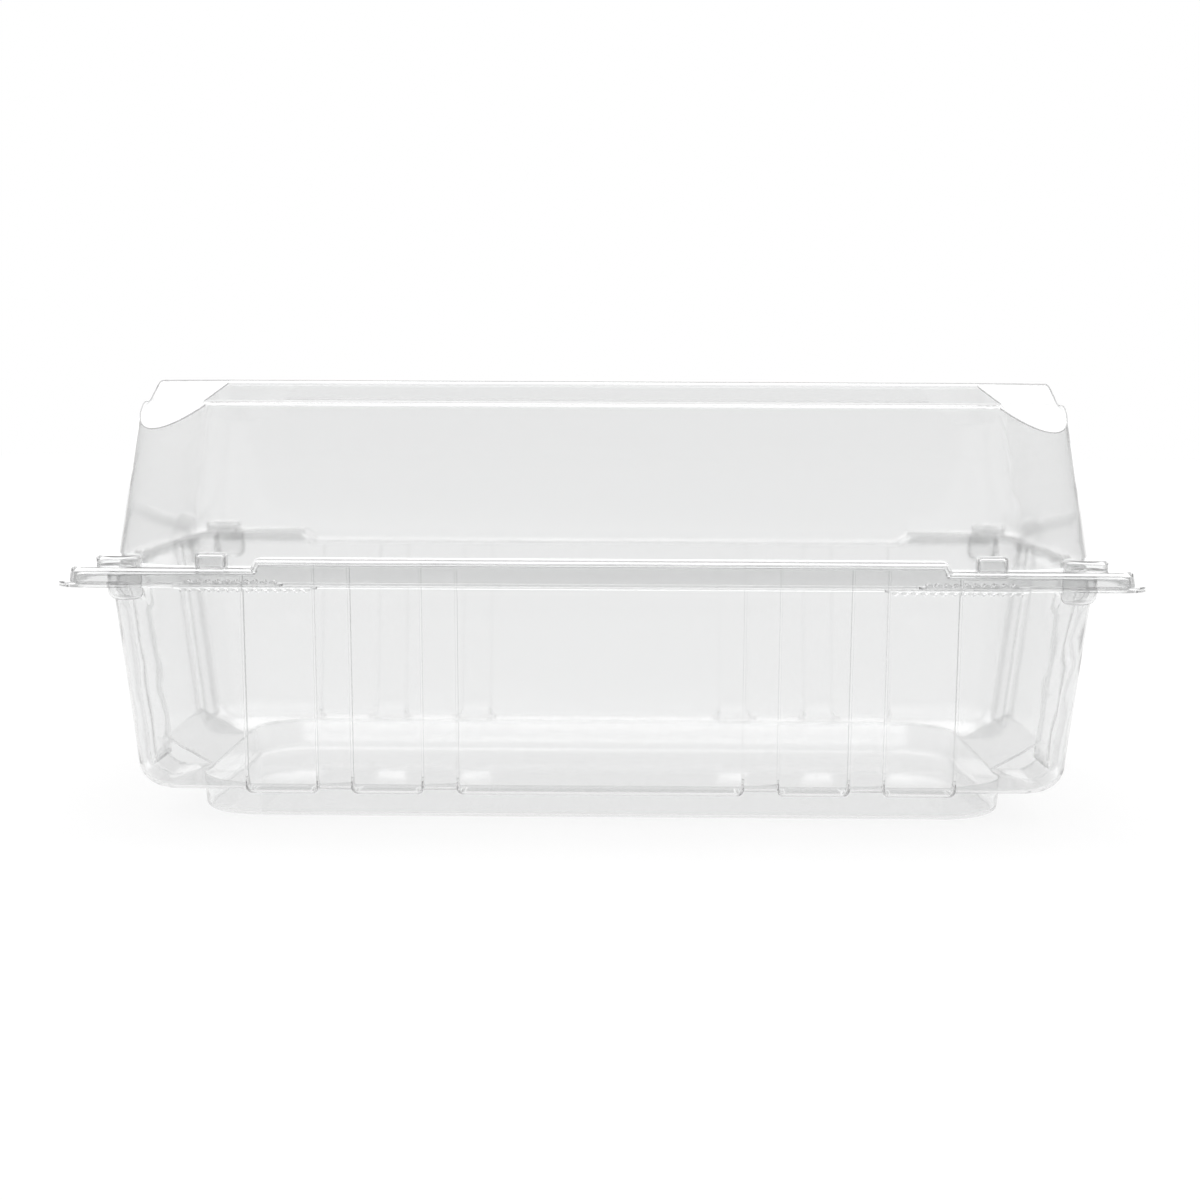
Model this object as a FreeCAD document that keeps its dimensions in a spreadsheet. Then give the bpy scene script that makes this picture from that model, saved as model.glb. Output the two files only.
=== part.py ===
import FreeCAD, Part
import math
import os
import re
import Sketcher

# Clear hinged clamshell pack, thermoformed from clear plastic sheet.
# The tray and the lid are separate solids, because the lid turns about the hinge at the back.
# Frame: origin at the centre of the foot's underside, +X along the length, +Z up, front at -Y.

V = FreeCAD.Vector
UP = V(0, 0, 1)
LENGTHWAYS = V(1, 0, 0)
CROSSWAYS = V(0, 1, 0)

SIZES = [
    # The sheet, and the play between the two halves
    ("sheet_wall", 0.5, "thickness of the formed sheet"),
    ("nest_gap", 0.25, "play between the tray's ridge and the lid's"),
    ("lip_gap", 0.2, "gap between the two closed lips"),
    # The rim that both halves share
    ("flange_half_x", 121.2, "half length over the flange"),
    ("flange_half_y", 70.0, "half depth over the flange"),
    ("flange_corner", 6.0, "corner radius of the flange"),
    ("parting", 56.5, "height of the parting plane above the table"),
    ("lip_width", 2.6, "width of the flat lip outside the ridge"),
    ("ridge_corner", 4.5, "corner radius of the ridge"),
    ("ridge_rise", 2.9, "height of the tray's ridge above the parting plane"),
    ("ridge_draft", 10.0, "slope of the ridge's outer wall, degrees"),
    ("ridge_edge", 0.9, "rounding along the top of the ridge"),
    ("raised_half", 77.4, "half length of the raised middle of the front ridge"),
    ("raised_rise", 2.0, "how much higher the raised middle is"),
    ("raised_draft", 25.0, "slope of the raised middle's ends, degrees"),
    ("hinge_half", 84.0, "half length of the gap in the back ridge"),
    ("hinge_draft", 50.0, "slope of the back ridge's ends, degrees"),
    # The tray
    ("tray_half_x", 114.0, "half length of the tray's wall at the parting plane"),
    ("tray_half_y", 62.1, "half depth of the tray's wall at the parting plane"),
    ("tray_corner", 17.5, "corner radius of the tray's wall at the parting plane"),
    ("tray_draft", 7.7, "slope of the tray's wall, degrees"),
    ("tray_edge", 6.5, "rounding between the tray's wall and floor"),
    ("foot_half_x", 95.7, "half length of the foot at its top"),
    ("foot_half_y", 47.0, "half depth of the foot at its top"),
    ("foot_corner", 16.0, "corner radius of the foot"),
    ("foot_rise", 7.3, "height of the foot"),
    ("foot_draft", 6.0, "slope of the foot's wall, degrees"),
    ("foot_edge", 1.6, "rounding round the foot's underside"),
    # The panels that stand out of the front and back walls
    ("panel_depth", 1.5, "how far a panel stands out"),
    ("panel_edge", 2.0, "rounding of a panel's lower edge and corners"),
    ("centre_half", 32.8, "half width of the middle panel"),
    ("panel_gap", 7.5, "gap between two panels"),
    ("panel_width", 16.6, "width of the other panels"),
    # The grooves in the end walls, and the ramp between each pair
    ("groove_near", 22.0, "near side of a groove from the middle"),
    ("groove_far", 36.5, "far side of a groove from the middle"),
    ("groove_depth", 1.3, "depth of a groove"),
    ("groove_foot", 4.0, "height of a groove's lower end above the floor"),
    ("ramp_half", 21.0, "half width of a ramp from an end wall to the foot"),
    ("ramp_slope", 29.0, "slope of a ramp, degrees"),
    # The snap corners
    ("socket_x", 107.4, "tray's socket from the middle, lengthways"),
    ("button_x", 109.2, "lid's button from the middle, lengthways"),
    ("corner_y", 58.9, "snap corner from the middle, crossways"),
    ("socket_radius", 4.3, "outer radius of a tray's socket"),
    ("socket_depth", 7.2, "depth of a socket below the ridge's top"),
    ("socket_edge", 2.4, "rounding of a socket's underside"),
    ("button_radius", 5.0, "outer radius of a lid's button"),
    ("button_rise", 2.2, "height of a button above the lid's ridge"),
    ("bump_edge", 0.8, "rounding of the buttons and bumps"),
    # The bumps beside the raised middle of the front ridge
    ("bump_x", 87.1, "bump from the middle"),
    ("bump_half_x", 3.4, "half width of a bump"),
    ("bump_half_y", 1.9, "half depth of a bump"),
    ("bump_rise", 3.2, "height of a bump above the lid's ridge"),
    # The lid
    ("lid_half_x", 114.3, "half length of the lid's wall at the ridge's top"),
    ("lid_half_y", 61.7, "half depth of the lid's wall at the ridge's top"),
    ("lid_corner", 25.0, "corner radius of the lid's wall at the ridge's top"),
    ("lid_draft", 8.6, "slope of the lid's wall, degrees"),
    ("ledge_width", 1.7, "width of the stacking ledge"),
    ("ledge_edge", 1.0, "rounding outside the stacking ledge"),
    ("ledge_root", 0.6, "rounding inside the stacking ledge"),
    ("top_height", 102.0, "height of the lid's top above the table"),
    ("top_rise", 5.0, "height of the raised top above the stacking ledge"),
    ("top_draft", 12.0, "slope round the raised top, degrees"),
    ("top_edge", 1.3, "rounding round the raised top"),
    ("facet_reach", 141.0, "distance of a corner facet's plane from the origin"),
    ("facet_slope", 43.0, "slope of a corner facet, degrees"),
    # The finger tabs on the front lips
    ("tab_reach", 2.2, "how far a tab stands out of the lip"),
    ("tab_outer", 94.6, "outer end of the tabs from the middle"),
    ("lid_tab_inner", 70.1, "inner end of a lid's tab from the middle"),
    ("tray_tab_inner", 62.6, "inner end of a tray's tab from the middle"),
    ("tooth_pitch", 2.1, "pitch of the teeth on a tab"),
    ("tooth_radius", 0.7, "radius of a tooth"),
    # The hinge
    ("bead_radius", 0.6, "radius of the hinge's bead"),
    ("bead_play", 0.12, "gap between the bead and the lid's lip"),
    ("bead_half", 112.0, "half length of the bead"),
]

doc = FreeCAD.newDocument("clamshell")
sheet = doc.addObject("Spreadsheet::Sheet", "sizes")
for row, (alias, value, meaning) in enumerate(SIZES, start=1):
    sheet.set(f"A{row}", meaning)
    sheet.set(f"B{row}", str(value))
    sheet.setAlias(f"B{row}", alias)
doc.recompute()
ALIASES = {alias for alias, _, _ in SIZES}

# Levels and sizes that several pieces share, as expressions on the sheet
TRAY_LIP_TOP = "(parting - lip_gap / 2)"
TRAY_LIP_BOTTOM = "(parting - lip_gap / 2 - sheet_wall)"
LID_LIP_BOTTOM = "(parting + lip_gap / 2)"
LID_LIP_TOP = "(parting + lip_gap / 2 + sheet_wall)"
RIDGE_TOP = "(parting + ridge_rise)"
LID_RIDGE_TOP = "(parting + ridge_rise + nest_gap + sheet_wall)"
LEDGE_LEVEL = "(top_height - top_rise)"
LID_TAPER = f"(({LEDGE_LEVEL} - {RIDGE_TOP}) * tan(lid_draft * 1deg) + ledge_width)"
TOP_HALF_X = f"(lid_half_x - {LID_TAPER})"
TOP_HALF_Y = f"(lid_half_y - {LID_TAPER})"
TOP_CORNER = f"(lid_corner - {LID_TAPER})"
HINGE_Y = "(flange_half_y + 0.75 * bead_radius)"
OVERRUN = 20.0  # how far a cutting tool runs past what it cuts


def size(alias):
    """A size read from the sheet."""
    return float(sheet.get(alias))


def on_sheet(text):
    """The expression with each alias read from the sheet."""
    def read(match):
        word = match.group(0)
        return "sizes." + word if word in ALIASES else word
    return re.sub(r"[a-z_]+", read, text)


def worked_out(text):
    """The number that an expression on the sheet gives."""
    return float(sheet.evalExpression(on_sheet(text)))


def bind(thing, links):
    """Ties properties of a document object to expressions."""
    for name, text in links.items():
        thing.setExpression(name, on_sheet(text))
    return thing


# Helpers that make document objects


def rounded_outline(name, half_x, half_y, corner, level):
    """A sketch of a rectangle with round corners, centred on the Z axis."""
    sketch = doc.addObject("Sketcher::SketchObject", name + "_outline")
    x, y, r = worked_out(half_x), worked_out(half_y), worked_out(corner)
    quarter = math.pi / 2
    centres = [(x - r, y - r), (r - x, y - r), (r - x, r - y), (x - r, r - y)]
    for turn, (centre_x, centre_y) in enumerate(centres):
        circle = Part.Circle(V(centre_x, centre_y, 0), UP, r)
        sketch.addGeometry(Part.ArcOfCircle(circle, turn * quarter, (turn + 1) * quarter))
    for turn in range(4):
        ends = sketch.getPoint(turn, 2), sketch.getPoint((turn + 1) % 4, 1)
        sketch.addGeometry(Part.LineSegment(*ends))
    for turn in range(4):
        sketch.addConstraint(Sketcher.Constraint("Tangent", turn, 2, 4 + turn, 1))
        sketch.addConstraint(Sketcher.Constraint("Tangent", 4 + turn, 2, (turn + 1) % 4, 1))
    for turn in range(1, 4):
        sketch.addConstraint(Sketcher.Constraint("Equal", 0, turn))
    sketch.addConstraint(Sketcher.Constraint("Horizontal", 4))
    sketch.addConstraint(Sketcher.Constraint("Vertical", 5))
    sketch.addConstraint(Sketcher.Constraint("Symmetric", 0, 3, 2, 3, -1, 1))
    sketch.addConstraint(Sketcher.Constraint("DistanceX", 1, 3, 0, 3, 2 * (x - r)))
    sketch.renameConstraint(sketch.ConstraintCount - 1, "length")
    sketch.addConstraint(Sketcher.Constraint("DistanceY", 3, 3, 0, 3, 2 * (y - r)))
    sketch.renameConstraint(sketch.ConstraintCount - 1, "depth")
    sketch.addConstraint(Sketcher.Constraint("Radius", 0, r))
    sketch.renameConstraint(sketch.ConstraintCount - 1, "corner")
    links = {
        "Constraints.length": f"2 * (({half_x}) - ({corner}))",
        "Constraints.depth": f"2 * (({half_y}) - ({corner}))",
        "Constraints.corner": corner,
        "Placement.Base.z": level,
    }
    return bind(sketch, links)


def drafted_block(name, half_x, half_y, corner, level, up=None, down=None):
    """A block on a round-cornered outline at a level, running up and down from it.
    up and down are each a length and a slope in degrees, inwards where it is positive."""
    block = doc.addObject("Part::Extrusion", name)
    block.Base = rounded_outline(name, half_x, half_y, corner, level)
    block.DirMode = "Custom"
    block.Dir = UP
    block.Solid = True
    block.LengthFwd = 0
    block.LengthRev = 0
    if up:
        bind(block, {"LengthFwd": up[0], "TaperAngle": f"-1 * ({up[1]})"})
    if down:
        bind(block, {"LengthRev": down[0], "TaperAngleRev": f"-1 * ({down[1]})"})
    return block


def slab(name, low, high):
    """A plain box between two corners, each given as three expressions."""
    box = doc.addObject("Part::Box", name)
    for side, axis, start, end in zip(("Length", "Width", "Height"), "xyz", low, high):
        bind(box, {side: f"({end}) - ({start})", f"Placement.Base.{axis}": start})
    return box


def post(name, radius, x, y, bottom, top):
    """An upright round post."""
    cylinder = doc.addObject("Part::Cylinder", name)
    links = {
        "Radius": radius,
        "Height": f"({top}) - ({bottom})",
        "Placement.Base.x": x,
        "Placement.Base.y": y,
        "Placement.Base.z": bottom,
    }
    return bind(cylinder, links)


def joined(name, *parts):
    union = doc.addObject("Part::MultiFuse", name)
    union.Shapes = list(parts)
    return union


def shared(name, *parts):
    common = doc.addObject("Part::MultiCommon", name)
    common.Shapes = list(parts)
    return common


def without(name, base, tool):
    cut = doc.addObject("Part::Cut", name)
    cut.Base = base
    cut.Tool = tool
    return cut


def both_ways(name, base, *normals):
    """The base joined to its mirror image through the origin, for each normal in turn."""
    for count, normal in enumerate(normals):
        image = doc.addObject("Part::Mirroring", f"{name}_image_{count}")
        image.Source = base
        image.Normal = normal
        base = joined(f"{name}_pair_{count}", base, image)
    return base


def rounded(name, base, radius, chosen):
    """The base with the edges that chosen picks rounded."""
    doc.recompute()
    fillet = doc.addObject("Part::Fillet", name)
    fillet.Base = base
    box = base.Shape.BoundBox
    numbered = enumerate(base.Shape.Edges, start=1)
    fillet.Edges = [(n, radius, radius) for n, edge in numbered if chosen(edge.BoundBox, box)]
    return fillet


# Which edges to round, by their own box and their solid's


def round_top(edge, whole):
    return edge.ZMin > whole.ZMax - 1e-4


def round_bottom(edge, whole):
    return edge.ZMax < whole.ZMin + 1e-4


def across_bottom(edge, whole):
    return round_bottom(edge, whole) and edge.YLength > 0.9 * whole.YLength


def above_bottom(edge, whole):
    return not round_bottom(edge, whole)


def front_upright(edge, whole):
    return edge.ZLength > 0.9 * whole.ZLength and edge.YMax < whole.YMin + 1e-4


# The ridge and the lips. grow is the offset from the tray's outer surface, so that one
# function makes the outside and the inside of both halves.


def ridge_block(name, grow, top):
    """The ridge as a full block: low all round, with the raised middle at the front."""
    blocks = []
    for part, extra in (("low", "0"), ("tall", "raised_rise")):
        block = drafted_block(
            f"{name}_{part}_block",
            f"flange_half_x - lip_width + {grow}",
            f"flange_half_y - lip_width + {grow}",
            f"ridge_corner + {grow}",
            "parting",
            up=(f"{top} + {extra} - parting", "ridge_draft"),
            down=("lip_gap / 2 + sheet_wall", "0"),
        )
        blocks.append(rounded(f"{name}_{part}", block, size("ridge_edge"), round_top))
    middle = drafted_block(
        name + "_middle",
        f"raised_half + {grow}",
        f"flange_half_y + {OVERRUN}",
        "lip_width",
        RIDGE_TOP,
        up=("2 * raised_rise", "raised_draft"),
        down=("ridge_rise", "0"),
    )
    front = slab(
        name + "_front",
        ("-flange_half_x", "-flange_half_y", "parting"),
        ("flange_half_x", f"tray_edge - tray_half_y + {grow}", f"parting + {OVERRUN}"),
    )
    return joined(name, blocks[0], shared(name + "_raised", blocks[1], middle, front))


def hinge_gap(name, grow, level, down=0.0):
    """What the gap at the hinge takes out of the back ridge, above a level."""
    wedge = drafted_block(
        name + "_wedge",
        f"hinge_half + {grow}",
        f"flange_half_y + {OVERRUN}",
        "lip_width",
        level,
        up=("3 * ridge_rise", "-hinge_draft"),
        down=(f"{down}", "0") if down else None,
    )
    back = slab(
        name + "_back",
        ("-flange_half_x", "tray_half_y - tray_edge", f"{level} - {down}"),
        ("flange_half_x", f"flange_half_y + {OVERRUN}", f"parting + {OVERRUN}"),
    )
    return shared(name, wedge, back)


def lip_plate(name, bottom):
    """The flange as a full flat plate."""
    outline = ("flange_half_x", "flange_half_y", "flange_corner")
    return drafted_block(name, *outline, bottom, up=("sheet_wall", "0"))


def finger_tabs(name, inner, bottom, top, tooth_level, keep_low, keep_high):
    """A toothed finger tab on a front lip, at each side of the middle."""
    plate = slab(
        name + "_plate",
        (inner, "-flange_half_y - tab_reach", bottom),
        ("tab_outer", "lip_width / 2 - flange_half_y", top),
    )
    plate = rounded(name + "_plate_round", plate, 0.9 * size("tab_reach"), front_upright)
    teeth = []
    toothed = size("tab_outer") - size(inner) - 2 * size("tab_reach")
    for number in range(int(toothed / size("tooth_pitch")) + 1):
        tooth = doc.addObject("Part::Cylinder", f"{name}_tooth_{number}")
        tooth.Placement.Rotation = FreeCAD.Rotation(LENGTHWAYS, 90)
        links = {
            "Radius": "tooth_radius",
            "Height": "tab_reach + lip_width / 2",
            "Placement.Base.x": f"{inner} + tab_reach + {number} * tooth_pitch",
            "Placement.Base.y": "lip_width / 2 - flange_half_y",
            "Placement.Base.z": tooth_level,
        }
        teeth.append(bind(tooth, links))
    half = slab(
        name + "_half",
        ("0", "-2 * flange_half_y", keep_low),
        ("flange_half_x", "0", keep_high),
    )
    row = shared(name + "_row", joined(name + "_teeth", *teeth), half)
    return both_ways(name, joined(name + "_side", plate, row), LENGTHWAYS)


def corner_posts(name, x, radius, bottom, top, edge, chosen):
    """Four posts at the snap corners, rounded at one end."""
    one = post(name + "_post", radius, x, "corner_y", bottom, top)
    one = rounded(name + "_round", one, edge, chosen)
    return both_ways(name, one, LENGTHWAYS, CROSSWAYS)


# The tray. Its tub is made twice: for the outside of the sheet, with an inset of nothing,
# and for the inside, drawn in by the sheet's thickness.


def tray_tub(name, inset, edge, stand_out="0", end_depth="0"):
    """The tub down to its floor, with the edge round its floor rounded."""
    block = drafted_block(
        name + "_block",
        f"tray_half_x - {end_depth} - {inset}",
        f"tray_half_y + {stand_out} - {inset}",
        f"tray_corner - {inset}",
        "parting",
        up=("ridge_rise + 2 * raised_rise", "-tray_draft"),
        down=(f"parting - foot_rise - {inset}", "tray_draft"),
    )
    return rounded(name, block, edge, round_bottom)


def tray_foot(name, inset, edge):
    """The pedestal under the floor."""
    block = drafted_block(
        name + "_block",
        f"foot_half_x - {inset}",
        f"foot_half_y - {inset}",
        f"foot_corner - {inset}",
        "foot_rise + sheet_wall",
        down=(f"foot_rise + sheet_wall - {inset}", "foot_draft"),
    )
    return rounded(name, block, edge, round_bottom)


def panel_slot(name, start, end, inset, edge):
    """An upright slab with round lower corners: one panel as it shows from the front."""
    box = slab(
        name + "_slab",
        (f"{start} + {inset}", "-flange_half_y", f"foot_rise + {inset}"),
        (f"{end} - {inset}", "flange_half_y", f"parting + {OVERRUN}"),
    )
    return rounded(name, box, edge, across_bottom)


def tray_panels(name, inset, edge):
    """The five panels that stand out of the front wall, and of the back one."""
    proud = tray_tub(name + "_proud", inset, edge, stand_out="panel_depth")
    slots = [panel_slot(name + "_slot_0", "-centre_half", "centre_half", inset, edge)]
    start = "centre_half + panel_gap"
    for number in (1, 2):
        slot = panel_slot(f"{name}_slot_{number}", start, f"{start} + panel_width", inset, edge)
        slots.append(both_ways(f"{name}_slots_{number}", slot, LENGTHWAYS))
        start = f"{start} + panel_width + panel_gap"
    return shared(name, proud, joined(name + "_slots", *slots))


def tray_grooves(name, inset, edge):
    """What the four upright grooves take out of the end walls."""
    core = tray_tub(name + "_core", inset, edge, end_depth="groove_depth")
    bar = slab(
        name + "_bar",
        ("centre_half", f"groove_near - {inset}", f"foot_rise + groove_foot - {inset}"),
        ("flange_half_x", f"groove_far + {inset}", f"parting + {OVERRUN}"),
    )
    return without(name, both_ways(name + "_bars", bar, LENGTHWAYS, CROSSWAYS), core)


def tray_ramps(name, inset):
    """What the two ramps take out of the ends of the tub's floor, up to the ramps' planes."""
    block = doc.addObject("Part::Box", name + "_block")
    block.Placement.Rotation = FreeCAD.Rotation(CROSSWAYS, -size("ramp_slope"))
    links = {
        "Length": "flange_half_x - foot_half_x",
        "Width": f"2 * (ramp_half + {inset})",
        "Height": "foot_rise",
        "Placement.Base.x": f"foot_half_x + (foot_rise - {inset}) * sin(ramp_slope * 1deg)",
        "Placement.Base.y": f"-(ramp_half + {inset})",
        "Placement.Base.z": f"foot_rise - (foot_rise - {inset}) * cos(ramp_slope * 1deg)",
    }
    return both_ways(name, bind(block, links), LENGTHWAYS)


def tray_plug(name, inset, drawn_in):
    """The tub with its foot and panels, less the grooves and what lies under the ramps."""
    full = joined(
        name + "_full",
        tray_tub(name + "_tub", inset, size("tray_edge") - drawn_in),
        tray_foot(name + "_foot", inset, size("foot_edge") - drawn_in / 2),
        tray_panels(name + "_panels", inset, size("panel_edge") - drawn_in / 2),
    )
    cuts = joined(
        name + "_cuts",
        tray_grooves(name + "_grooves", inset, size("tray_edge") / 2),
        tray_ramps(name + "_ramps", inset),
    )
    return without(name, full, cuts)


def make_tray():
    """The tray with its rim, sockets, finger tabs and the hinge's bead."""
    wall = size("sheet_wall")
    outside = tray_plug("tray_outside", "0", 0.0)
    inside = tray_plug("tray_inside", "sheet_wall", wall)
    below = slab(
        "below_lip",
        ("-flange_half_x", "-flange_half_y", "-foot_rise"),
        ("flange_half_x", "flange_half_y", TRAY_LIP_TOP),
    )
    full = joined(
        "tray_full",
        shared("tray_below_lip", outside, below),
        ridge_block("tray_ridge", "0", RIDGE_TOP),
        lip_plate("tray_lip", TRAY_LIP_BOTTOM),
        finger_tabs("tray_tab", "tray_tab_inner", TRAY_LIP_BOTTOM, TRAY_LIP_TOP,
                    TRAY_LIP_BOTTOM, "0", TRAY_LIP_TOP),
    )
    rim = without("tray_rim", full, hinge_gap("tray_gap", "0", TRAY_LIP_TOP))
    under_ridge = ridge_block("ridge_inside", "-sheet_wall", f"{RIDGE_TOP} - sheet_wall")
    keep = joined(
        "under_ridge_keep",
        outside,
        hinge_gap("tray_gap_keep", "2 * sheet_wall", TRAY_LIP_TOP, down=OVERRUN),
    )
    shell = without("tray_shell", rim, without("tray_channel", under_ridge, keep))
    sockets = corner_posts("sockets", "socket_x", "socket_radius", f"{RIDGE_TOP} - socket_depth",
                           f"{RIDGE_TOP} - sheet_wall / 2", size("socket_edge"), round_bottom)
    mouths = corner_posts("mouths", "socket_x", "socket_radius - sheet_wall",
                          f"{RIDGE_TOP} - socket_depth + sheet_wall",
                          f"{RIDGE_TOP} + ridge_rise", size("socket_edge") - wall, round_bottom)
    bead = doc.addObject("Part::Cylinder", "bead")
    bead.Placement.Rotation = FreeCAD.Rotation(CROSSWAYS, 90)
    links = {
        "Radius": "bead_radius",
        "Height": "2 * bead_half",
        "Placement.Base.x": "-bead_half",
        "Placement.Base.y": HINGE_Y,
        "Placement.Base.z": "parting",
    }
    bind(bead, links)
    solid = joined("tray_solid", shell, sockets, bead)
    clear_mouths = without("mouths_clear_of_tub", mouths, outside)
    return without("base_tray", solid, joined("tray_hollow", inside, clear_mouths))


# The lid


def facet_cutters(name, drawn_in):
    """Four big blocks, each with one face in the plane of a corner facet."""
    reach = size("facet_reach") - drawn_in
    slope = math.radians(size("facet_slope"))
    side = 4 * size("tray_corner")
    block = doc.addObject("Part::Box", name + "_block")
    block.Length = block.Width = block.Height = side
    across = math.sin(slope) / math.sqrt(2)
    outward = V(across, across, math.cos(slope))
    turn = FreeCAD.Rotation(UP, outward)
    corner = size("lid_corner")
    middle = V(size("lid_half_x") - corner, size("lid_half_y") - corner, worked_out(LEDGE_LEVEL))
    seat = middle + outward * (reach - middle.dot(outward))
    start = seat + turn.multVec(V(-side / 2, -side / 2, 0))
    block.Placement = FreeCAD.Placement(start, turn)
    return both_ways(name, block, LENGTHWAYS, CROSSWAYS)


def lid_plug(name, inset, drawn_in, down):
    """The lid's dome: drafted walls, stacking ledge, raised top and corner facets."""
    dome = drafted_block(
        name + "_dome_block",
        f"lid_half_x - {inset}",
        f"lid_half_y - {inset}",
        f"lid_corner - {inset}",
        RIDGE_TOP,
        up=(f"{LEDGE_LEVEL} - {inset} - {RIDGE_TOP}", "lid_draft"),
        down=(down, "0"),
    )
    top = drafted_block(
        name + "_top_block",
        f"{TOP_HALF_X} - {inset}",
        f"{TOP_HALF_Y} - {inset}",
        f"{TOP_CORNER} - {inset}",
        f"{LEDGE_LEVEL} - {inset}",
        up=("top_rise", "top_draft"),
        down=("ledge_width", "0"),
    )
    dome = rounded(name + "_dome", dome, size("ledge_edge") - drawn_in / 2, round_top)
    top = rounded(name + "_top", top, size("top_edge") - drawn_in / 2, round_top)
    level = worked_out(f"{LEDGE_LEVEL} - {inset}")
    half_x = worked_out(f"{TOP_HALF_X} - {inset}") + 0.1
    half_y = worked_out(f"{TOP_HALF_Y} - {inset}") + 0.1

    def ledge_root(edge, whole):
        """The edges where the raised top stands on the ledge."""
        flat = abs(edge.ZMin - level) < 1e-4 and abs(edge.ZMax - level) < 1e-4
        within_x = edge.XMin > -half_x and edge.XMax < half_x
        return flat and within_x and edge.YMin > -half_y and edge.YMax < half_y

    full = joined(name + "_full", dome, top)
    full = rounded(name + "_stepped", full, size("ledge_root") + drawn_in / 2, ledge_root)
    return without(name, full, facet_cutters(name + "_facets", drawn_in))


def ridge_bumps(name, inset, drawn_in):
    """The two bumps on the front ridge, beside its raised middle."""
    middle_y = "(lip_width - flange_half_y - lid_half_y) / 2"
    box = slab(
        name + "_box",
        (f"bump_x - bump_half_x + {inset}", f"{middle_y} - bump_half_y + {inset}", RIDGE_TOP),
        (f"bump_x + bump_half_x - {inset}", f"{middle_y} + bump_half_y - {inset}",
         f"{LID_RIDGE_TOP} + bump_rise - {inset}"),
    )
    one = rounded(name + "_round", box, size("bump_edge") - drawn_in / 2, above_bottom)
    return both_ways(name, one, LENGTHWAYS)


def make_lid():
    """The lid with its rim, corner buttons, bumps and finger tabs."""
    wall = size("sheet_wall")
    edge = size("bump_edge")
    ridge = without(
        "lid_ridge",
        ridge_block("lid_ridge_full", "nest_gap + sheet_wall", LID_RIDGE_TOP),
        hinge_gap("lid_gap", "-2 * nest_gap - sheet_wall", LID_LIP_TOP),
    )
    below = slab(
        "below_lid_lip",
        ("-flange_half_x", "-flange_half_y", f"parting - {OVERRUN}"),
        ("flange_half_x", "flange_half_y", LID_LIP_BOTTOM),
    )
    outside = joined(
        "lid_outside",
        lid_plug("lid_dome", "0", 0.0, "ridge_rise - lip_gap / 2"),
        ridge,
        lip_plate("lid_lip", LID_LIP_BOTTOM),
        corner_posts("buttons", "button_x", "button_radius", RIDGE_TOP,
                     f"{LID_RIDGE_TOP} + button_rise", edge, round_top),
        ridge_bumps("bumps", "0", 0.0),
        finger_tabs("lid_tab", "lid_tab_inner", LID_LIP_BOTTOM, LID_LIP_TOP, LID_LIP_TOP,
                    LID_LIP_BOTTOM, "top_height"),
    )
    inside_ridge = without(
        "lid_ridge_inside",
        ridge_block("lid_ridge_inside_full", "nest_gap", f"{LID_RIDGE_TOP} - sheet_wall"),
        hinge_gap("lid_gap_inside", "-2 * nest_gap", LID_LIP_TOP, down=OVERRUN),
    )
    inside = joined(
        "lid_inside",
        lid_plug("lid_dome_inside", "sheet_wall", wall, "2 * ridge_rise"),
        inside_ridge,
        corner_posts("buttons_inside", "button_x", "button_radius - sheet_wall", "parting",
                     f"{LID_RIDGE_TOP} + button_rise - sheet_wall", edge - wall / 2, round_top),
        ridge_bumps("bumps_inside", "sheet_wall", wall),
        below,
    )
    room = doc.addObject("Part::Cylinder", "bead_room")
    room.Placement.Rotation = FreeCAD.Rotation(CROSSWAYS, 90)
    links = {
        "Radius": "bead_radius + bead_play",
        "Height": "2 * flange_half_x",
        "Placement.Base.x": "-flange_half_x",
        "Placement.Base.y": HINGE_Y,
        "Placement.Base.z": "parting",
    }
    bind(room, links)
    behind = slab(
        "behind_bead",
        ("-flange_half_x", f"{HINGE_Y} - bead_radius - bead_play", "parting"),
        ("flange_half_x", f"flange_half_y + {OVERRUN}", "top_height"),
    )
    return without("lid", outside, joined("lid_hollow", inside, room, behind))


PIECES = [make_tray(), make_lid()]
doc.recompute()

for thing in doc.Objects:
    if "Invalid" in thing.State or "Error" in thing.State:
        raise RuntimeError(f"{thing.Name} failed: {thing.State}")

os.makedirs("parts", exist_ok=True)
for piece in PIECES:
    piece.Label = piece.Name
    shape = piece.Shape
    if shape.isNull() or not shape.isValid():
        raise RuntimeError(f"{piece.Label} has no valid shape")
    solids = shape.Solids
    print(piece.Label, "solids", len(solids), "volume", round(shape.Volume, 1), "faces", len(shape.Faces))
    print("  box", shape.BoundBox)
    shape.exportStep(f"parts/{piece.Label}.step")
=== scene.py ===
# %% [markdown]
# # A clear hinged food pack
#
# The object is one sheet of clear plastic, formed in one shot: a deep tray, a domed lid, and a
# living hinge between them. It is closed, empty and very clear, so nearly everything that one
# sees is gloss, edges and what lies behind. This lesson starts from the maker's solids, turns
# them into smooth shells, gives them a clear plastic finish, and lights them the way a
# photographer lights glass: white behind it, darker beside it and a bright sky over it.

# %% The frame
import math

import bmesh
import bpy
from mathutils import Matrix, Vector


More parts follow.
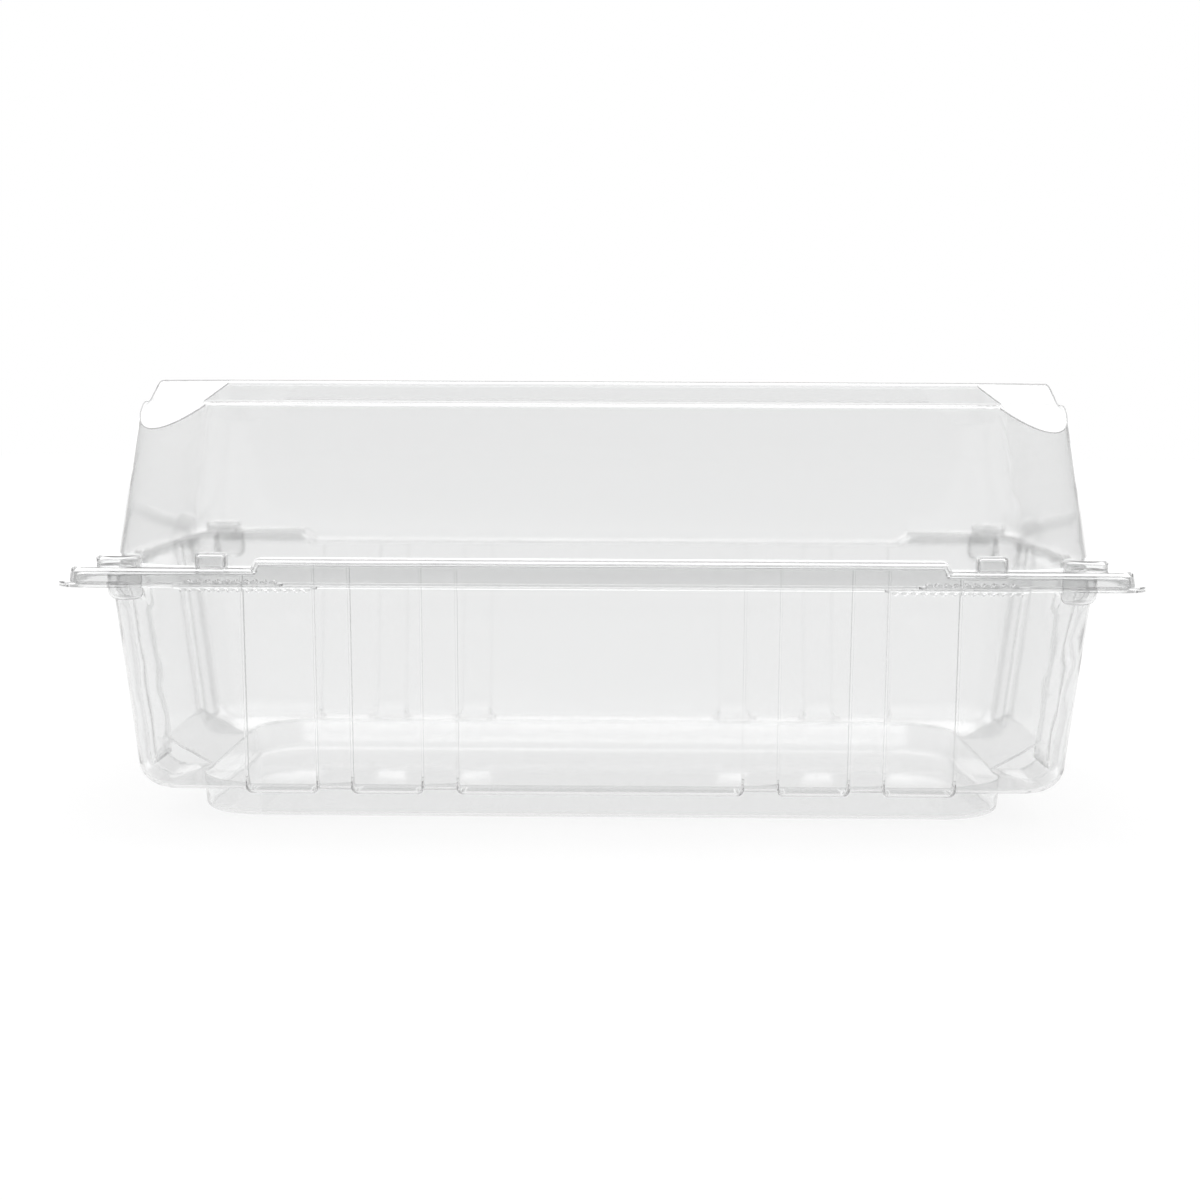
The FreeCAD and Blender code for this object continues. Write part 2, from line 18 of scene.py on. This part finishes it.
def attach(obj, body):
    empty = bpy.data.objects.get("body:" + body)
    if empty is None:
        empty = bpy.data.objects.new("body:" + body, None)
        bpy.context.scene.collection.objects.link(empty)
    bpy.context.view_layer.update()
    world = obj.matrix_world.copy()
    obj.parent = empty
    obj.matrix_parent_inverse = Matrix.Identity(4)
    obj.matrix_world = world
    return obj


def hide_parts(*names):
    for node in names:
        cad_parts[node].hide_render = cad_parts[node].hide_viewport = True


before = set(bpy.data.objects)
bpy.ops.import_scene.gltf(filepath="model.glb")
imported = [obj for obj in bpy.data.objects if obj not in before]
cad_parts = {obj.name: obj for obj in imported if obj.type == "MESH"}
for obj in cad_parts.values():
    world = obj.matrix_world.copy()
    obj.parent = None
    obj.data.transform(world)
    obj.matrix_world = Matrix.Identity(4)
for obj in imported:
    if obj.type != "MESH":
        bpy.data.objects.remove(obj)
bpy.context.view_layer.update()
print("nodes", sorted(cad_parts))

# %% [markdown]
# ## Shader maths as plain sums
#
# A finish is easier to read as a sum than as a chain of boxes. The class below wraps one output
# of a node, and its operators add Math nodes. One function makes every other kind of node.

# %% The wrapper for a socket


class Term:
    """One output of a shader node, with the arithmetic of numbers."""

    def __init__(self, tree, socket):
        self.tree = tree
        self.socket = socket

    def _maths(self, operation, first, second):
        settings = {"operation": operation}
        return add_node(self.tree, "ShaderNodeMath", settings, {0: first, 1: second})

    def __add__(self, other):
        return self._maths("ADD", self, other)

    def __radd__(self, other):
        return self._maths("ADD", other, self)

    def __sub__(self, other):
        return self._maths("SUBTRACT", self, other)

    def __rsub__(self, other):
        return self._maths("SUBTRACT", other, self)

    def __mul__(self, other):
        return self._maths("MULTIPLY", self, other)

    def __rmul__(self, other):
        return self._maths("MULTIPLY", other, self)

    def __lt__(self, other):
        return self._maths("LESS_THAN", self, other)

    def __gt__(self, other):
        return self._maths("GREATER_THAN", self, other)

    def __abs__(self):
        return self._maths("ABSOLUTE", self, 0.0)


def add_node(tree, kind, settings=None, inputs=None, output=0):
    """Adds a node, sets it up, fills or links its inputs, and gives one of its outputs."""
    node = tree.nodes.new(kind)
    for name, value in (settings or {}).items():
        setattr(node, name, value)
    for name, value in (inputs or {}).items():
        if isinstance(value, Term):
            tree.links.new(value.socket, node.inputs[name])
        else:
            node.inputs[name].default_value = value
    return Term(tree, node.outputs[output])


def new_tree(block):
    """The emptied node tree of a material or a world."""
    block.use_nodes = True
    block.node_tree.nodes.clear()
    return block.node_tree


def send_out(tree, shader, kind="ShaderNodeOutputMaterial"):
    """Ends a tree with a shader."""
    output = tree.nodes.new(kind)
    tree.links.new(shader.socket, output.inputs["Surface"])


def axes_of(tree, place):
    """The three parts of a place or a direction."""
    return [add_node(tree, "ShaderNodeSeparateXYZ", {}, {"Vector": place}, axis) for axis in "XYZ"]


def ease(tree, value, start, end, low=0.0, high=1.0):
    """Turns smoothly from low to high while the value goes from start to end."""
    inputs = {"Value": value, "From Min": start, "From Max": end, "To Min": low, "To Max": high}
    return add_node(tree, "ShaderNodeMapRange", {"interpolation_type": "SMOOTHSTEP"}, inputs)


def noise(tree, place, period, detail=0.0):
    """Noise from 0 to 1, with a period in metres."""
    inputs = {"Vector": place, "Scale": 1 / period, "Detail": detail}
    return add_node(tree, "ShaderNodeTexNoise", {}, inputs)


print("the wrapper takes", [name for name in vars(Term) if name.startswith("__")][2:])

# %% [markdown]
# ## Smooth shells from the solids
#
# A solid arrives as loose triangles, and each would glint on its own in a clear sheet. A copy is
# merged, shaded smooth, and keeps a hard edge only where the sheet really has one. The Weighted
# Normal modifier then lets the large flat faces decide the shading beside each rounding.

# %% Shells
HARD_ANGLE = math.radians(35)
MERGE_REACH = 1e-6
FLAT_FACE_WEIGHT = 100


def shell_from(node, name, body):
    """A merged and smoothly shaded copy of a solid, which stands for it."""
    shell = bpy.data.objects.new(name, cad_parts[node].data.copy())
    bpy.context.scene.collection.objects.link(shell)
    bm = bmesh.new()
    bm.from_mesh(shell.data)
    bmesh.ops.remove_doubles(bm, verts=bm.verts, dist=MERGE_REACH)
    for face in bm.faces:
        face.smooth = True
    for edge in bm.edges:
        edge.smooth = edge.calc_face_angle(math.pi) < HARD_ANGLE
    bm.to_mesh(shell.data)
    bm.free()
    leading = shell.modifiers.new("flat_faces_lead", "WEIGHTED_NORMAL")
    leading.weight = FLAT_FACE_WEIGHT
    leading.keep_sharp = True
    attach(shell, body)
    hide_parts(node)
    print(name, "faces", len(shell.data.polygons))
    return shell


tray = shell_from("base_tray", "tray_sheet", "base")
lid = shell_from("lid", "lid_sheet", "lid")

# %% [markdown]
# ## The clear sheet
#
# The plastic is clear all through, so the shader refracts and hardly tints. Its surface isn't
# perfect. The sheet is pulled over a mould and keeps shallow waves, with a ripple that runs level
# round the pack. The edges of the grooves in the end walls are where it is drawn most, and they
# have a stipple of fine tears. A touch of haze lets the near walls stay crisp, while what lies far
# behind them goes soft, as drawn sheet does.
#
# Light that is caught in the sheet would turn its rims black once the bounces run out. After the
# last bounce that matters, a ray goes straight on through, and each surface only greys it.

# %% The clear finish
WHITE = (1.0, 1.0, 1.0, 1.0)
SHEET_TINT = (0.922, 0.924, 0.924, 1.0)
PLASTIC_IOR = 1.56
HAZE = 0.055
HAZE_CHANGE = 0.02  # the haze grows a little on the crests of the waves
LAST_BOUNCE = 8
LATE_TINT = (0.8, 0.8, 0.8, 1.0)
RELIEF = 0.0001  # metres for a relief of 1
WAVE, RIPPLE, STIPPLE = 0.12, 0.04, 0.6
WAVE_PERIOD, RIPPLE_PERIOD, STIPPLE_PERIOD = 0.03, 0.0018, 0.0011  # metres
LEVEL_RUN = (0.4, 0.4, 1.0)  # draws the ripple out sideways
END_WALL = 0.1  # metres from the middle, where the end walls begin
GROOVE_MIDDLE = 0.02925  # metres from the middle to the middle of a groove
GROOVE_HALF = 0.00725  # half a groove's width
STIPPLE_HALF = 0.0008  # how far the stipple reaches on each side of an edge
LIP_LEVEL = 0.054  # the height where the grooves end under the lip


def groove_edges(tree, place):
    """1 along the upright edges of the grooves in the end walls, and otherwise 0."""
    x, y, z = axes_of(tree, place)
    off_edge = abs(abs(abs(y) - GROOVE_MIDDLE) - GROOVE_HALF)
    beside = ease(tree, off_edge, STIPPLE_HALF, 2 * STIPPLE_HALF, 1.0, 0.0)
    return beside * (abs(x) > END_WALL) * (z < LIP_LEVEL)


def clear_sheet(name, grooved):
    """Clear glossy plastic with shallow waves, a ripple and a stipple."""
    material = bpy.data.materials.new(name)
    tree = new_tree(material)
    place = add_node(tree, "ShaderNodeTexCoord", output="Object")
    level = add_node(tree, "ShaderNodeMapping", {}, {"Vector": place, "Scale": LEVEL_RUN})
    wave = noise(tree, place, WAVE_PERIOD)
    relief = WAVE * wave + RIPPLE * noise(tree, level, RIPPLE_PERIOD, 1.0)
    if grooved:
        tears = groove_edges(tree, place) * noise(tree, place, STIPPLE_PERIOD, 1.0)
        relief = relief + STIPPLE * tears
    heights = {"Strength": 1.0, "Distance": RELIEF, "Height": relief}
    bump = add_node(tree, "ShaderNodeBump", {}, heights)
    finish = {
        "Base Color": SHEET_TINT,
        "Roughness": HAZE + HAZE_CHANGE * wave,
        "IOR": PLASTIC_IOR,
        "Transmission Weight": 1.0,
        "Normal": bump,
    }
    plastic = add_node(tree, "ShaderNodeBsdfPrincipled", {}, finish)
    clear = add_node(tree, "ShaderNodeBsdfTransparent", {}, {"Color": LATE_TINT})
    late = add_node(tree, "ShaderNodeLightPath", output="Ray Depth") > LAST_BOUNCE
    send_out(tree, add_node(tree, "ShaderNodeMixShader", {}, {0: late, 1: plastic, 2: clear}))
    return material


for piece, grooved in ((tray, True), (lid, False)):
    piece.data.materials.clear()
    piece.data.materials.append(clear_sheet("clear_" + piece.name, grooved))
    print(piece.name, "is finished in", piece.data.materials[0].name)

# %% [markdown]
# ## White behind, darker beside
#
# A clear thing is drawn by what it mirrors. Rays that run straight on, or only bend through the
# sheet, meet plain white. Rays that the sheet has mirrored meet the studio: a bright sky that is
# brightest overhead, a white screen behind the pack whose foot is the brightest, two white cards
# up behind its sides for the cut corners, white low down in front, and a darker room at both
# sides. The world and the paper are found by the rays themselves, which suits clear plastic.

# %% The studio
ROOM, SCREEN, SCREEN_FOOT, FRONT, SKY = 0.58, 0.85, 1.6, 3.0, 1.05
CARDS, OVERHEAD = 0.7, 1.6

# Where each light begins and ends, in the upward part of a direction: 0 is level, 1 is overhead
SCREEN_TOP = (0.26, 0.34)
SCREEN_FOOT_TOP = (0.16, 0.175)
FRONT_TOP = (0.08, 0.12)
SKY_START = (0.42, 0.54)
OVERHEAD_START = (0.7, 0.8)
CARDS_START = (0.4, 0.46)

# The same, in the sideways part of a direction
AHEAD_END = (0.3, 0.6)
CARDS_SIDE = (0.4, 0.46)

ANY_BOUNCE = 0.5  # more than this is one bounce at least


def straight_ray(tree):
    """1 for a ray that nothing has mirrored or scattered yet, and otherwise 0."""
    glossy = add_node(tree, "ShaderNodeLightPath", output="Glossy Depth")
    diffuse = add_node(tree, "ShaderNodeLightPath", output="Diffuse Depth")
    return (glossy < ANY_BOUNCE) * (diffuse < ANY_BOUNCE)


def seen_or_mirrored(tree, mirrored):
    """White for a straight ray, and otherwise what the pack mirrors there."""
    seen = straight_ray(tree)
    return seen + (1.0 - seen) * mirrored


def studio_light(tree, direction):
    """How bright the studio is in a direction."""
    x, y, z = axes_of(tree, direction)
    sideways = abs(x)
    behind = y > 0.0
    screen = (SCREEN - ROOM) * ease(tree, z, *SCREEN_TOP, 1.0, 0.0)
    foot = (SCREEN_FOOT - SCREEN) * ease(tree, z, *SCREEN_FOOT_TOP, 1.0, 0.0)
    front = (FRONT - ROOM) * ease(tree, z, *FRONT_TOP, 1.0, 0.0)
    ahead = ease(tree, sideways, *AHEAD_END, 1.0, 0.0)
    sky = (SKY - ROOM) * ease(tree, z, *SKY_START)
    overhead = (OVERHEAD - SKY) * ease(tree, z, *OVERHEAD_START)
    cards = CARDS * behind * ease(tree, sideways, *CARDS_SIDE) * ease(tree, z, *CARDS_START)
    level = ahead * (behind * (screen + foot) + (1.0 - behind) * front)
    return ROOM + level + sky + overhead + cards


world = bpy.data.worlds.new("studio")
world.cycles.sampling_method = "NONE"
bpy.context.scene.world = world
tree = new_tree(world)
direction = add_node(tree, "ShaderNodeTexCoord", output="Generated")
light = seen_or_mirrored(tree, studio_light(tree, direction))
background = add_node(tree, "ShaderNodeBackground", {}, {"Color": WHITE, "Strength": light})
send_out(tree, background, "ShaderNodeOutputWorld")
print("the studio's tree has", len(tree.nodes), "nodes")

# %% [markdown]
# ## The floor
#
# White paper, which a straight ray sees as the same white as the screen. A tenth of it is matt,
# so that the pack's faint shadow falls on it. In what the pack mirrors, the paper's glow is a
# painted pool of light, white under and behind the pack, with painted shade, darker, in front.

# %% Paper
FLOOR_HALF = 2.5
MATT = (0.85, 0.85, 0.85, 1.0)
GLOW_SHARE = 0.9
LIT_PAPER = 0.95
LIT_FROM = (-0.12, -0.1)  # metres along y, where the white begins
LIT_SIDE = (0.2, 0.4)  # metres along x, where it ends beside the pack
LIT_SPREAD = 0.5  # how much wider it grows towards the back

bm = bmesh.new()
bmesh.ops.create_grid(bm, x_segments=1, y_segments=1, size=FLOOR_HALF)
floor_mesh = bpy.data.meshes.new("floor")
bm.to_mesh(floor_mesh)
bm.free()
floor = bpy.data.objects.new("floor", floor_mesh)
bpy.context.scene.collection.objects.link(floor)
paper = bpy.data.materials.new("white_paper")
paper.cycles.emission_sampling = "NONE"
tree = new_tree(paper)
place = add_node(tree, "ShaderNodeTexCoord", output="Object")
x, y, _ = axes_of(tree, place)
# painted light: in mirrored rays the paper glows brighter under and behind the pack, and darker in
# front
beside = ease(tree, abs(x) - LIT_SPREAD * y, *LIT_SIDE, 1.0, 0.0)
painted_pool = ease(tree, y, *LIT_FROM) * beside
strength = seen_or_mirrored(tree, ROOM + (LIT_PAPER - ROOM) * painted_pool)
matt = add_node(tree, "ShaderNodeBsdfDiffuse", {}, {"Color": MATT})
glow = add_node(tree, "ShaderNodeEmission", {}, {"Color": WHITE, "Strength": strength})
send_out(tree, add_node(tree, "ShaderNodeMixShader", {}, {0: GLOW_SHARE, 1: matt, 2: glow}))
floor.data.materials.append(paper)
print("the floor is", 2 * FLOOR_HALF, "m square")

# %% [markdown]
# ## A soft lamp overhead
#
# It lays the pack's soft shadow on the paper. The gloss comes from the studio, so mirrored and
# bent rays pass the lamp by.

# %% The lamp
LAMP_LENGTH = 1.2
LAMP_WIDTH = 0.9
LAMP_POWER = 6.0  # watts
LAMP_PLACE = (0.0, 0.25, 0.95)
LAMP_LEAN = math.radians(-12)

lamp_data = bpy.data.lights.new("overhead_softbox", "AREA")
lamp_data.shape = "RECTANGLE"
lamp_data.size = LAMP_LENGTH
lamp_data.size_y = LAMP_WIDTH
lamp_data.energy = LAMP_POWER
lamp = bpy.data.objects.new("overhead_softbox", lamp_data)
lamp.location = LAMP_PLACE
lamp.rotation_euler = (LAMP_LEAN, 0.0, 0.0)
lamp.visible_glossy = False
lamp.visible_transmission = False
bpy.context.scene.collection.objects.link(lamp)
print("lamp of", lamp_data.energy, "W at", [round(part, 2) for part in lamp.location])

# %% [markdown]
# ## The camera
#
# The photograph is taken level with the lid's top, from about half a metre away, with the pack
# straight on. The camera leans down a little, and the frame's shift does the rest. A sight line
# through the nested rims crosses many surfaces, so a ray may bounce more often than usual.

# %% The camera
CAMERA_PLACE = Vector((0.0048, -0.5094, 0.0996))
TURNS = ((0.65, "Z"), (-3.0, "X"), (-0.26, "Y"), (90.0, "X"))
SENSOR, LENS = 36.0, 60.0  # millimetres
SHIFT = -0.086
NEAREST = 0.01
BOUNCES = 16
GLOSSY_BOUNCES = 8

camera_data = bpy.data.cameras.new("camera")
camera_data.sensor_width = SENSOR
camera_data.lens = LENS
camera_data.shift_y = SHIFT
camera_data.clip_start = NEAREST
camera = bpy.data.objects.new("camera", camera_data)
bpy.context.scene.collection.objects.link(camera)
camera.matrix_world = Matrix.Translation(CAMERA_PLACE)
for degrees, axis in TURNS:
    camera.matrix_world = camera.matrix_world @ Matrix.Rotation(math.radians(degrees), 4, axis)
bpy.context.scene.camera = camera
bpy.context.scene.view_settings.view_transform = "Standard"
tracing = bpy.context.scene.cycles
tracing.max_bounces = BOUNCES
tracing.transmission_bounces = BOUNCES
tracing.glossy_bounces = GLOSSY_BOUNCES
print("camera at", [round(part, 3) for part in camera.matrix_world.translation])

# %% [markdown]
# ## The end
#
